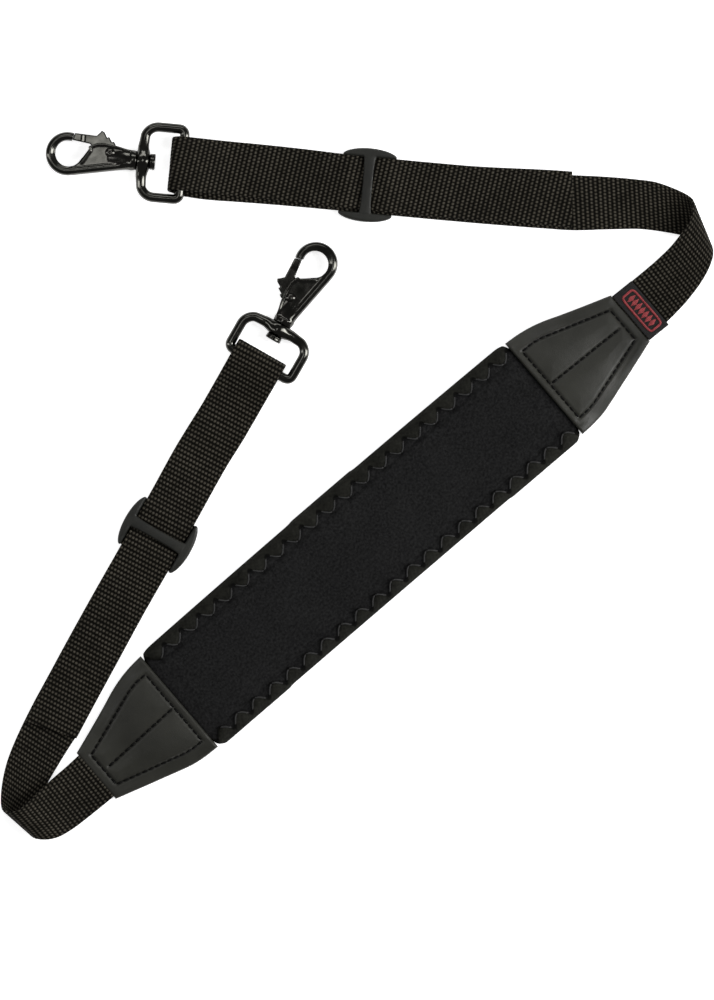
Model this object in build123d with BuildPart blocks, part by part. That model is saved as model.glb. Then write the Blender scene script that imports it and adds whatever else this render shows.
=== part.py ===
"""Saxophone neck strap: padded shoulder piece, two webbing ends, two sliders, two swivel snap hooks.

Row frame, millimetres: the origin is the centre of the pad's underside, +X runs along the pad,
+Y towards the folded-back ends with the hooks, and +Z up off the surface that the strap lies on.
Each hook, strap eye and slider is drawn in a frame of its own, with x along its strap.
"""
from build123d import *
import math
import os

# ---- driving dimensions -------------------------------------------------------------------------
PAD_HALF_LENGTH = 112.0
PAD_HALF_WIDTH = 29.5
PAD_THICKNESS = 6.0
SKIN = 0.8                      # face, lining and binding fabrics
PAD_CORNER = 4.5
BINDING_WIDTH = 9.0

TAB_HALF_WIDTH = 27.5
TAB_LENGTH = 51.8
TAB_LEATHER = 1.2
TAB_FLAT = 10.0                 # stretch of the tab that lies level on the pad's end
TONGUE_LENGTH = 36.0            # pad core that runs on between the two leathers
STITCH = (2.3, 0.7, 0.4)        # one thread stitch: length, width, height
STITCH_PITCH = 3.4
FEATHER_PITCH = 10.5

WEB_WIDTH = 25.0
WEB = 1.2                       # webbing thickness
WEB_LOW = 1.2                   # underside of the lower layer
LAYER_GAP = 0.1
WEB_UP = WEB_LOW + WEB + LAYER_GAP

AXIS_HEIGHT = 5.0               # bar and swivel axis above the surface
ROD = 2.25                      # radius of the strap eye's rod
EYE_HALF_WIDTH = 16.4           # rod centre line, across the strap
EYE_DEPTH = 18.9                # from the bar's axis to the arch's
BAR_CORNER = 2.6
ARCH_CORNER = 6.4
HUB = (6.0, 17.0, 9.4)          # along, across and through the eye at the swivel
LOOP_INNER = 2.6
LOOP_AHEAD = 2.0                # centre of the loop's end, past the bar's axis
RAMP_LENGTH = 21.0

SHANK = 2.4
SHANK_CLEARANCE = 0.06
RIVET_HEAD = (3.9, 2.5)         # radius and thickness
NECK_START = 22.1
NECK = 4.9
RING_CENTRE = 53.6
RING = 10.2
EYELET = 6.1                    # radius of the hook's round inner wall
EYELET_CENTRE = (52.9, 0.4)
HOOK_HALF_THICKNESS = 3.2
OUTER_ROUND = 1.7
INNER_ROUND = 1.3
GATE_HALF_THICKNESS = 1.7
SLOT_HALF = 1.95
PIVOT = (33.8, 2.4)
PIN = 1.5
PIN_CLEARANCE = 0.06

SLIDER_HALF = (12.4, 16.8)
SLIDER_INNER = 13.5
SLIDER_END_BAR = 1.0
SLIDER_SWAY = 0.2               # gap between webbing and bars
CENTRE_BAR = (3.1, 1.6)         # half width and thickness

CURL_DEPTH = 31.0               # how far back the tab side of a fold starts to climb
CURL_TOP = 14.4                 # corner that the top of the curl is rounded from
CURL_MIDDLE = 7.2
CURL_RADII = (20, 4.6, 5.2)     # foot of the climb, top and bottom of the curl

os.makedirs("parts", exist_ok=True)


def save(piece, name):
    """Label a finished piece and write its STEP file."""
    piece.part.label = name
    export_step(piece.part, f"parts/{name}.step")


def across(frame, x):
    """The plane square to a frame's x, at a distance x along it."""
    return Plane(origin=frame.from_local_coords((x, 0, 0)), x_dir=frame.y_dir, z_dir=frame.x_dir)


def side_plane(origin, x_dir):
    """An upright plane: its x is the given level direction and its y is up."""
    return Plane(origin=origin, x_dir=x_dir, z_dir=(x_dir[1], -x_dir[0], 0))


def heading(degrees):
    """Unit vector in the level plane."""
    return (math.cos(math.radians(degrees)), math.sin(math.radians(degrees)), 0)


# ---- shoulder pad -------------------------------------------------------------------------------
def pad_outline(inset=0.0):
    """Rounded rectangle of the pad, drawn in from its edge."""
    RectangleRounded(2 * (PAD_HALF_LENGTH - inset), 2 * (PAD_HALF_WIDTH - inset), PAD_CORNER - inset)


with BuildPart() as pad_core:
    with BuildSketch(Plane.XY.offset(SKIN)):
        pad_outline(SKIN)
    extrude(amount=PAD_THICKNESS - 2 * SKIN)
    with BuildSketch(Plane.XZ):
        for sign in (-1, 1):
            with BuildLine():
                Polyline(
                    (sign * (PAD_HALF_LENGTH - 3), WEB_UP),
                    (sign * (PAD_HALF_LENGTH + TONGUE_LENGTH - 1), WEB_UP),
                    (sign * (PAD_HALF_LENGTH + TONGUE_LENGTH - 1), WEB_UP + 1),
                    (sign * (PAD_HALF_LENGTH + 6), PAD_THICKNESS - SKIN),
                    (sign * (PAD_HALF_LENGTH - 3), PAD_THICKNESS - SKIN),
                    close=True,
                )
            make_face()
    extrude(amount=18, both=True)
save(pad_core, "pad_core")

for name, level, run_in in (("pad_lining", 0.0, -0.1), ("pad_face", PAD_THICKNESS - SKIN, 6.0)):
    with BuildPart() as skin:
        with BuildSketch(Plane.XY.offset(level)):
            Rectangle(2 * (PAD_HALF_LENGTH + run_in), 2 * (PAD_HALF_WIDTH - BINDING_WIDTH))
        extrude(amount=SKIN)
    save(skin, name)

for name, sign in (("front_binding", -1), ("rear_binding", 1)):
    with BuildPart() as binding:
        with BuildSketch(Plane.XY):
            pad_outline()
            with Locations((0, -sign * BINDING_WIDTH)):
                Rectangle(2 * PAD_HALF_LENGTH, 2 * PAD_HALF_WIDTH, mode=Mode.SUBTRACT)
        extrude(amount=PAD_THICKNESS)
        with BuildSketch(Plane.XY.offset(SKIN)):
            pad_outline(SKIN)
        extrude(amount=PAD_THICKNESS - 2 * SKIN, mode=Mode.SUBTRACT)
    save(binding, name)

    with BuildPart() as feather:
        count = int(2 * (PAD_HALF_LENGTH - PAD_CORNER) / FEATHER_PITCH)
        middle = sign * (PAD_HALF_WIDTH - BINDING_WIDTH / 2)
        with BuildSketch(Plane.XY.offset(PAD_THICKNESS)):
            for turn in (-40, 40):
                with Locations((turn / 40 * FEATHER_PITCH / 4, middle)):
                    with GridLocations(FEATHER_PITCH, 1, count, 1):
                        Rectangle(5.6, STITCH[1], rotation=turn * sign)
        extrude(amount=STITCH[2])
    save(feather, f"{name}_stitching")


# ---- leather end tabs ---------------------------------------------------------------------------
def tab_outline(end, inset=0.0):
    """Trapezoid with flared shoulders; end is +1 or -1, the pad's end that it closes."""
    near = end * (PAD_HALF_LENGTH + inset)
    shoulder = end * (PAD_HALF_LENGTH + 19)
    far = end * (PAD_HALF_LENGTH + TAB_LENGTH - inset)
    edges = ((12.9 - inset, 24.2 - inset, 1), (-15.2 + inset, -25.2 + inset, -1))
    with BuildLine() as outline:
        for narrow, knee, side in edges:
            Line((far, narrow), (shoulder, knee))
            Spline((shoulder, knee), (near, side * (TAB_HALF_WIDTH - inset)),
                   tangents=((shoulder - far, knee - narrow), (-end, 0)))
        Line((far, edges[0][0]), (far, edges[1][0]))
        Line((near, TAB_HALF_WIDTH - inset), (near, inset - TAB_HALF_WIDTH))
    make_face(outline.edges())


def tab_top_height(distance):
    """Height of the tab's upper surface at a distance from the pad's end."""
    low = WEB_LOW + WEB + TAB_LEATHER
    high = PAD_THICKNESS + TAB_LEATHER
    share = max(0.0, (distance - TAB_FLAT) / (TAB_LENGTH - TAB_FLAT))
    return high + (low - high) * share


def stitch_run(start, finish):
    """Even stitches along a straight seam, as (x, y, turn)."""
    length = math.dist(start, finish)
    count = round(length / STITCH_PITCH)
    turn = math.degrees(math.atan2(finish[1] - start[1], finish[0] - start[0]))
    return [
        (start[0] + (finish[0] - start[0]) * (i + 0.5) / count,
         start[1] + (finish[1] - start[1]) * (i + 0.5) / count, turn)
        for i in range(count)
    ]


for side, end in (("right", 1), ("left", -1)):
    with BuildPart() as tab_under:
        with BuildSketch(Plane.XY):
            tab_outline(end)
        extrude(amount=TAB_LEATHER)
    save(tab_under, f"{side}_tab_under")

    with BuildPart() as tab_top:
        with BuildSketch(Plane.XY):
            tab_outline(end)
        extrude(amount=PAD_THICKNESS + TAB_LEATHER)
        with BuildSketch(Plane.XZ):
            with BuildLine():
                near = end * PAD_HALF_LENGTH
                level = end * (PAD_HALF_LENGTH + TAB_FLAT)
                far = end * (PAD_HALF_LENGTH + TAB_LENGTH)
                Polyline(
                    (near, PAD_THICKNESS),
                    (level, PAD_THICKNESS),
                    (far, WEB_LOW + WEB),
                    (far, WEB_LOW + WEB + TAB_LEATHER),
                    (level, PAD_THICKNESS + TAB_LEATHER),
                    (near, PAD_THICKNESS + TAB_LEATHER),
                    close=True,
                )
            make_face()
        extrude(amount=TAB_HALF_WIDTH + 5, both=True, mode=Mode.INTERSECT)
    save(tab_top, f"{side}_tab_top")

    corners = [(4.0, 20.4), (47.0, 7.6), (47.0, -9.8), (4.0, -20.6)]
    seams = [(corners[i], corners[(i + 1) % 4]) for i in range(4)] + [((4.0, 0.1), (47.0, -1.2))]
    with BuildPart() as stitching:
        for start, finish in seams:
            for x, y, turn in stitch_run(start, finish):
                lean = -math.degrees(math.atan2(PAD_THICKNESS - WEB_LOW - WEB, TAB_LENGTH - TAB_FLAT))
                slope = lean if x > TAB_FLAT else 0.0
                spot = Plane(origin=(end * (PAD_HALF_LENGTH + x), y, tab_top_height(x)),
                             x_dir=(end, 0, math.tan(math.radians(slope))),
                             z_dir=(-end * math.tan(math.radians(slope)), 0, 1))
                with BuildSketch(spot):
                    Rectangle(STITCH[0], STITCH[1], rotation=turn * end)
                extrude(amount=STITCH[2])
    save(stitching, f"{side}_tab_stitching")


# ---- webbing ------------------------------------------------------------------------------------
def folded_back(points_outer, points_inner, end_outer, end_inner):
    """Face between two smooth edges of a webbing run, closed straight at both ends."""
    with BuildLine() as outline:
        Spline(*points_outer, end_outer)
        Spline(*points_inner, end_inner)
        Line(points_outer[0], points_inner[0])
        Line(end_outer, end_inner)
    make_face(outline.edges())


def webbing(strap, run_length, tail_length, tab_run, fold_outer, fold_inner, tab_outer, tab_inner):
    """One length of webbing, from under the leather tab, round its soft fold, round the eye and back.

    strap is the level frame at the eye's bar, with x towards the hook. The fold's edges are lists of
    points from the silhouette back along each run, and tab_run is the stretch held in the tab.
    """
    top_end = Vector(*fold_outer[0])
    low_end = Vector(*fold_inner[0])
    middle = (top_end + low_end) * 0.5
    along = (top_end - low_end).normalized()
    out = Vector(along.Y, -along.X)
    if out.X * middle.X < 0:
        out = -out
    upright = side_plane((middle.X, middle.Y, 0), (out.X, out.Y, 0))
    skirt = out * 1.0
    half = WEB_WIDTH / 2
    straight_end = [strap.from_local_coords((-run_length, edge, 0)) for edge in (half, -half)]
    far_end = min(straight_end, key=lambda p: (p - Vector(*fold_outer[-1])).length)
    near_end = max(straight_end, key=lambda p: (p - Vector(*fold_outer[-1])).length)
    with BuildPart() as piece:
        with BuildSketch(upright):
            with BuildLine():
                FilletPolyline(
                    (-70, WEB_LOW + WEB / 2),
                    (-CURL_DEPTH, WEB_LOW + WEB / 2),
                    (-WEB / 2, CURL_TOP),
                    (-WEB / 2, CURL_MIDDLE),
                    radius=CURL_RADII[:2],
                )
                offset(amount=WEB / 2, side=Side.BOTH)
            make_face()
        extrude(amount=60, both=True)
        with BuildSketch(Plane.XY):
            folded_back(
                [top_end + skirt] + tab_outer[1:-1],
                [low_end + skirt] + tab_inner[1:-1],
                tab_outer[-1],
                tab_inner[-1],
            )
        extrude(amount=CURL_TOP + 5, mode=Mode.INTERSECT)
        with BuildSketch(Plane.XY.offset(WEB_LOW)):
            with Locations(((tab_outer[-1][0] + tab_run) / 2, (tab_outer[-1][1] + tab_inner[-1][1]) / 2)):
                Rectangle(abs(tab_outer[-1][0] - tab_run), WEB_WIDTH)
        extrude(amount=WEB)
    with BuildPart() as under:
        with BuildSketch(upright):
            with BuildLine():
                FilletPolyline(
                    (-WEB / 2, CURL_MIDDLE),
                    (-WEB / 2, WEB_LOW + WEB / 2),
                    (-90, WEB_LOW + WEB / 2),
                    radius=CURL_RADII[2],
                )
                offset(amount=WEB / 2, side=Side.BOTH)
            make_face()
        extrude(amount=90, both=True)
        with BuildSketch(Plane.XY):
            folded_back(
                [top_end + skirt] + fold_outer[1:],
                [low_end + skirt] + fold_inner[1:],
                far_end,
                near_end,
            )
        extrude(amount=CURL_TOP, mode=Mode.INTERSECT)
    bar_side = Plane(origin=strap.origin, x_dir=strap.x_dir, z_dir=-strap.y_dir)
    with BuildPart() as doubled:
        with BuildSketch(bar_side):
            inner = LOOP_INNER
            outer = LOOP_INNER + WEB
            with BuildLine():
                Polyline(
                    (LOOP_AHEAD, AXIS_HEIGHT - outer),
                    (-run_length, AXIS_HEIGHT - outer),
                    (-run_length, AXIS_HEIGHT - inner),
                    (LOOP_AHEAD, AXIS_HEIGHT - inner),
                )
                ThreePointArc(
                    (LOOP_AHEAD, AXIS_HEIGHT - inner),
                    (LOOP_AHEAD + inner, AXIS_HEIGHT),
                    (LOOP_AHEAD, AXIS_HEIGHT + inner),
                )
                Polyline(
                    (LOOP_AHEAD, AXIS_HEIGHT + inner),
                    (-1, AXIS_HEIGHT + inner),
                    (-RAMP_LENGTH, WEB_UP),
                    (-tail_length, WEB_UP),
                    (-tail_length, WEB_UP + WEB),
                    (-RAMP_LENGTH, WEB_UP + WEB),
                    (-1, AXIS_HEIGHT + outer),
                    (LOOP_AHEAD, AXIS_HEIGHT + outer),
                )
                ThreePointArc(
                    (LOOP_AHEAD, AXIS_HEIGHT + outer),
                    (LOOP_AHEAD + outer, AXIS_HEIGHT),
                    (LOOP_AHEAD, AXIS_HEIGHT - outer),
                )
            make_face()
        extrude(amount=half, both=True)
    with BuildPart() as whole:
        add(piece.part)
        add(under.part)
        add(doubled.part)
    return whole


# ---- strap eye, swivel rivet and snap hook ------------------------------------------------------
def strap_eye(bar):
    """D-shaped eye: a straight bar for the webbing and an arch that carries the swivel hub."""
    with BuildPart() as eye:
        with BuildLine(bar) as half_path:
            FilletPolyline(
                (0, 0),
                (0, EYE_HALF_WIDTH),
                (EYE_DEPTH - 0.9, EYE_HALF_WIDTH),
                (EYE_DEPTH, 0),
                radius=(BAR_CORNER, ARCH_CORNER),
            )
        with BuildSketch(Plane(origin=bar.origin, z_dir=bar.y_dir)):
            Circle(ROD)
        sweep(path=half_path.line)
        mirror(about=Plane(origin=bar.origin, z_dir=bar.y_dir))
        hub_end = across(bar, EYE_DEPTH + ROD - HUB[0])
        with BuildSketch(hub_end):
            Ellipse(HUB[1] / 2, HUB[2] / 2)
        extrude(amount=HUB[0] - 0.3)
        with BuildSketch(hub_end):
            Circle(NECK)
        extrude(amount=HUB[0] + 0.3)
        with BuildSketch(hub_end.offset(-ROD)):
            Circle(SHANK + SHANK_CLEARANCE)
        extrude(amount=3 * HUB[0], mode=Mode.SUBTRACT)
    return eye


def swivel_rivet(bar):
    """Headed post: the head bears inside the eye, and the shank is fixed in the hook's neck."""
    head_face = EYE_DEPTH + ROD - HUB[0] - 0.15
    with BuildPart() as rivet:
        with BuildSketch(across(bar, head_face - RIVET_HEAD[1])):
            Circle(RIVET_HEAD[0])
        extrude(amount=RIVET_HEAD[1])
        fillet(rivet.edges().group_by(Axis(bar.origin, bar.x_dir))[0], 0.9)
        with BuildSketch(across(bar, head_face)):
            Circle(SHANK)
        extrude(amount=NECK_START + 5 - head_face)
    return rivet


def eyelet_outline():
    """Teardrop inside the hook: the round seat, drawn in to the corner behind the gate."""
    with Locations(EYELET_CENTRE):
        Circle(EYELET)
    with Locations((43.9, 4.5)):
        Circle(0.7)
    make_hull()


def hook_body(bar):
    """Cast snap hook: round neck, two-cheeked housing, spine and ring."""
    with BuildPart() as hook:
        with BuildSketch(bar):
            with Locations((RING_CENTRE, 0.1)):
                Circle(RING)
            with Locations((NECK_START + 3.5, 0)):
                Rectangle(1.0, 2 * (NECK - 0.1))
            make_hull()
        extrude(amount=HOOK_HALF_THICKNESS, both=True)
        fillet(hook.faces().filter_by(Axis.Z).edges(), OUTER_ROUND)
        with BuildSketch(bar):
            eyelet_outline()
        extrude(amount=HOOK_HALF_THICKNESS, both=True, mode=Mode.SUBTRACT)
        eyelet_wires = [wire for face in hook.faces().filter_by(Axis.Z) for wire in face.inner_wires()]
        fillet([edge for wire in eyelet_wires for edge in wire.edges()], INNER_ROUND)
        with BuildSketch(bar):
            with BuildLine():
                Polyline(
                    (NECK_START, 0),
                    (NECK_START, NECK),
                    (NECK_START + 1.6, NECK),
                    (NECK_START + 2.1, NECK - 0.5),
                    (NECK_START + 5.5, NECK - 0.7),
                    (NECK_START + 13.5, 2.6),
                    (NECK_START + 13.5, 0),
                    close=True,
                )
            make_face()
        revolve(axis=Axis(bar.origin, bar.x_dir))
        with BuildSketch(bar):
            with BuildLine():
                Polyline(
                    (30.4, 5.9),
                    (40.0, 6.5),
                    (44.0, 4.4),
                    (52.1, 6.0),
                    (51.0, 11.5),
                    (45.0, 14.0),
                    (31.5, 14.0),
                    close=True,
                )
            make_face()
        extrude(amount=NECK + 1, both=True, mode=Mode.SUBTRACT)
        with BuildSketch(bar):
            with BuildLine():
                Polyline(
                    (29.2, -0.4),
                    (36.0, -1.9),
                    (45.6, -2.6),
                    (48.5, 3.0),
                    (44.0, 12.0),
                    (29.2, 12.0),
                    close=True,
                )
            make_face()
        extrude(amount=SLOT_HALF, both=True, mode=Mode.SUBTRACT)
        with BuildSketch(across(bar, NECK_START)):
            Circle(SHANK)
        extrude(amount=5, mode=Mode.SUBTRACT)
        with BuildSketch(bar):
            with Locations(PIVOT):
                Circle(PIN)
        extrude(amount=NECK + 1, both=True, mode=Mode.SUBTRACT)
    return hook


def hook_gate(bar):
    """Sprung gate with a stepped thumb piece, turning on its pin between the hook's cheeks."""
    with BuildPart() as gate:
        with BuildSketch(bar):
            with BuildLine():
                Polyline(
                    (32.4, 0.3),
                    (31.2, 3.0),
                    (31.6, 6.6),
                    (32.6, 7.9),
                    (34.0, 8.1),
                    (34.8, 9.9),
                    (36.6, 10.3),
                    (38.2, 12.4),
                    (40.6, 9.9),
                    (50.6, 10.2),
                    (51.5, 6.7),
                    (43.6, 5.6),
                    (37.6, 1.0),
                    (35.2, 0.2),
                    close=True,
                )
            make_face()
            with Locations(PIVOT):
                Circle(PIN + PIN_CLEARANCE, mode=Mode.SUBTRACT)
        extrude(amount=GATE_HALF_THICKNESS, both=True)
    return gate


def gate_pin(bar):
    """Rivet through both cheeks, with a low domed head on each side."""
    with BuildPart() as pin:
        with BuildSketch(bar):
            with Locations(PIVOT):
                Circle(PIN)
        extrude(amount=HOOK_HALF_THICKNESS, both=True)
        for direction in (1, -1):
            with BuildSketch(bar.offset(direction * HOOK_HALF_THICKNESS)):
                with Locations(PIVOT):
                    Circle(2.2)
            extrude(amount=direction * 0.4)
    return pin


def gate_spring(bar):
    """Small compression coil between the housing and the heel of the gate."""
    seat = bar.from_local_coords((29.4, 3.9, 0))
    with BuildPart() as spring:
        with BuildLine() as coil:
            Helix(pitch=0.44, height=1.32, radius=1.2, center=seat, direction=bar.x_dir)
        with BuildSketch(Plane(origin=coil.line @ 0, z_dir=coil.line % 0)):
            Circle(0.16)
        sweep(path=coil.line, is_frenet=True)
    return spring


def slider(middle):
    """Three-bar slider: bowed rails, two low end bars under the webbing, one centre bar over it."""
    half_x, half_y = SLIDER_HALF
    bar_level = WEB_UP + WEB + SLIDER_SWAY
    height = bar_level + CENTRE_BAR[1]
    with BuildPart() as frame:
        with BuildSketch(middle):
            with BuildLine():
                for sign in (1, -1):
                    ThreePointArc((-9.6, sign * 16.0), (0, sign * half_y), (9.6, sign * 16.0))
                    ThreePointArc((9.6, sign * 16.0), (11.4, sign * 15.1), (half_x, sign * 13.0))
                    ThreePointArc((-9.6, sign * 16.0), (-11.4, sign * 15.1), (-half_x, sign * 13.0))
                Line((half_x, 13.0), (half_x, -13.0))
                Line((-half_x, 13.0), (-half_x, -13.0))
            make_face()
        extrude(amount=height)
        fillet(frame.faces().filter_by(Axis.Z).sort_by(Axis.Z)[-1].edges(), 0.9)
        with BuildSketch(middle.offset(SLIDER_END_BAR)):
            Rectangle(2 * half_x + 2, 2 * SLIDER_INNER)
        extrude(amount=bar_level - SLIDER_END_BAR, mode=Mode.SUBTRACT)
        with BuildSketch(middle.offset(bar_level)):
            Rectangle(2 * half_x + 2, 2 * SLIDER_INNER)
            Rectangle(2 * CENTRE_BAR[0], 2 * SLIDER_INNER, mode=Mode.SUBTRACT)
        extrude(amount=CENTRE_BAR[1] + 1, mode=Mode.SUBTRACT)
        with BuildSketch(middle):
            Rectangle(2 * (half_x - 3.6), 2 * SLIDER_INNER)
        extrude(amount=SLIDER_END_BAR, mode=Mode.SUBTRACT)
    return frame


# ---- the two ends -------------------------------------------------------------------------------
RIGHT_BAR = (51.8, 189.0)
RIGHT_TURN = 134.1
LEFT_BAR = (18.7, 95.6)
LEFT_TURN = 19.5

ENDS = {
    "right": {
        "bar": Plane(origin=(*RIGHT_BAR, AXIS_HEIGHT), x_dir=heading(RIGHT_TURN), z_dir=(0, 0, -1)),
        "strap": Plane(origin=(*RIGHT_BAR, 0), x_dir=heading(RIGHT_TURN), z_dir=(0, 0, 1)),
        "offset": 0.0,
        "slider_at": 86.0,
        "run_length": 184.0,
        "tail_length": 182.6,
        "tab_run": 130.0,
        "fold_outer": [(221.0, 22.8), (220.2, 28.0), (217.6, 33.6), (213.8, 39.9), (208.0, 46.4)],
        "fold_inner": [(213.4, -0.6), (211.2, 6.5), (206.5, 13.8), (200.0, 21.5), (190.0, 31.0)],
        "tab_outer": [(221.0, 22.8), (216.4, 17.2), (208.0, 14.0), (190.0, 11.8), (176.0, 11.7)],
        "tab_inner": [(213.4, -0.6), (208.5, -5.4), (202.0, -8.3), (190.0, -11.5), (176.0, -13.3)],
    },
    "left": {
        "bar": Plane(origin=(*LEFT_BAR, AXIS_HEIGHT), x_dir=heading(LEFT_TURN), z_dir=(0, 0, 1)),
        "strap": Plane(origin=(*LEFT_BAR, 0), x_dir=heading(LEFT_TURN), z_dir=(0, 0, 1)),
        "offset": 0.6,
        "slider_at": 92.5,
        "run_length": 197.0,
        "tail_length": 196.0,
        "tab_run": -130.0,
        "fold_outer": [(-206.1, 15.5), (-204.6, 19.4), (-199.0, 25.3), (-188.4, 32.9)],
        "fold_inner": [(-203.6, -3.2), (-200.5, 2.0), (-192.0, 8.0), (-181.0, 12.2)],
        "tab_outer": [(-206.1, 15.5), (-204.0, 12.4), (-196.0, 10.8), (-181.0, 11.5), (-166.0, 11.7)],
        "tab_inner": [(-203.6, -3.2), (-200.6, -7.1), (-196.1, -10.3), (-189.0, -11.9), (-176.0, -13.1), (-166.0, -13.3)],
    },
}

for side, end in ENDS.items():
    shifted = Plane(origin=end["strap"].from_local_coords((0, end["offset"], 0)),
                    x_dir=end["strap"].x_dir, z_dir=(0, 0, 1))
    save(webbing(shifted, end["run_length"], end["tail_length"], end["tab_run"], end["fold_outer"],
                 end["fold_inner"], end["tab_outer"], end["tab_inner"]), f"{side}_webbing")
    save(slider(Plane(origin=end["strap"].from_local_coords((-end["slider_at"], 0, 0)),
                      x_dir=end["strap"].x_dir, z_dir=(0, 0, 1))), f"{side}_slider")
    for build in (strap_eye, swivel_rivet, hook_body, hook_gate, gate_pin, gate_spring):
        save(build(end["bar"]), f"{side}_{build.__name__}")

# ---- label --------------------------------------------------------------------------------------
with BuildPart() as label_band:
    with BuildSketch(Plane.YZ.offset(PAD_HALF_LENGTH + TAB_LENGTH + 0.4)):
        with Locations((-0.8, WEB_LOW + WEB / 2)):
            Rectangle(WEB_WIDTH + 1.6, WEB + 1.6)
            Rectangle(WEB_WIDTH + 0.2, WEB + 0.1, mode=Mode.SUBTRACT)
    extrude(amount=11.4)
save(label_band, "label_band")
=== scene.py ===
"""Looks of the saxophone neck strap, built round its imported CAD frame. Lengths below are in millimetres
until MM turns them into metres; the axes are the row's own."""
import math

import bmesh
import bpy
import numpy as np
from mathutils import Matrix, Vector
from mathutils.bvhtree import BVHTree


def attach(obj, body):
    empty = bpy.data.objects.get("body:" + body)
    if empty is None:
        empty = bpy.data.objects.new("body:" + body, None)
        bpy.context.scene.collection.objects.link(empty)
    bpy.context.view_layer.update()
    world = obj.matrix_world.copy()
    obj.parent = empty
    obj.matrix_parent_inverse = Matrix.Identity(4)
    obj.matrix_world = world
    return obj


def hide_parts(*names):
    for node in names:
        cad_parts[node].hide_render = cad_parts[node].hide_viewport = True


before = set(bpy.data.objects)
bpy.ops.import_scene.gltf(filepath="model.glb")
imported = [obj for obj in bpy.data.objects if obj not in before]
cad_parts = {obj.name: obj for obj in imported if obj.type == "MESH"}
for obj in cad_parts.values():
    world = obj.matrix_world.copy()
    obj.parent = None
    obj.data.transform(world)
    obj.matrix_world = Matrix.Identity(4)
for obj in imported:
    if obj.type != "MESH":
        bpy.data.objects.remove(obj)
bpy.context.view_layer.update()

MM = 0.001
WIDTH = 25.0                    # webbing
THICK = 1.2
PICK = (2.13, WIDTH / 15)       # one raised pick of the weave, along and across
PAD = (112.0, 4.5)              # half length and corner radius
SEAM = 20.5                     # line sewn in by the bindings, either side of the pad's middle
LOBE = (20.8, 4.6, 1.25)        # binding's inner edge: lobes' tips, depth of the notches, roundness
FEATHER = 10.5                  # repeat of the binding's stitch
TAB = 52.0                      # length of a leather tab
TAB_START = PAD[0] - 0.35       # where a tab's leather begins, over the pad's end
AXIS_HEIGHT = 5.0               # middle of the eyes and hooks, above the table
GATE_PIVOT = (33.8, 2.4)        # from the eye's bar, along and across the hook
SLOT_HALF = 1.95                # half thickness of the slot that the gate closes into
ENDS = {"right": 1, "left": -1}


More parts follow.
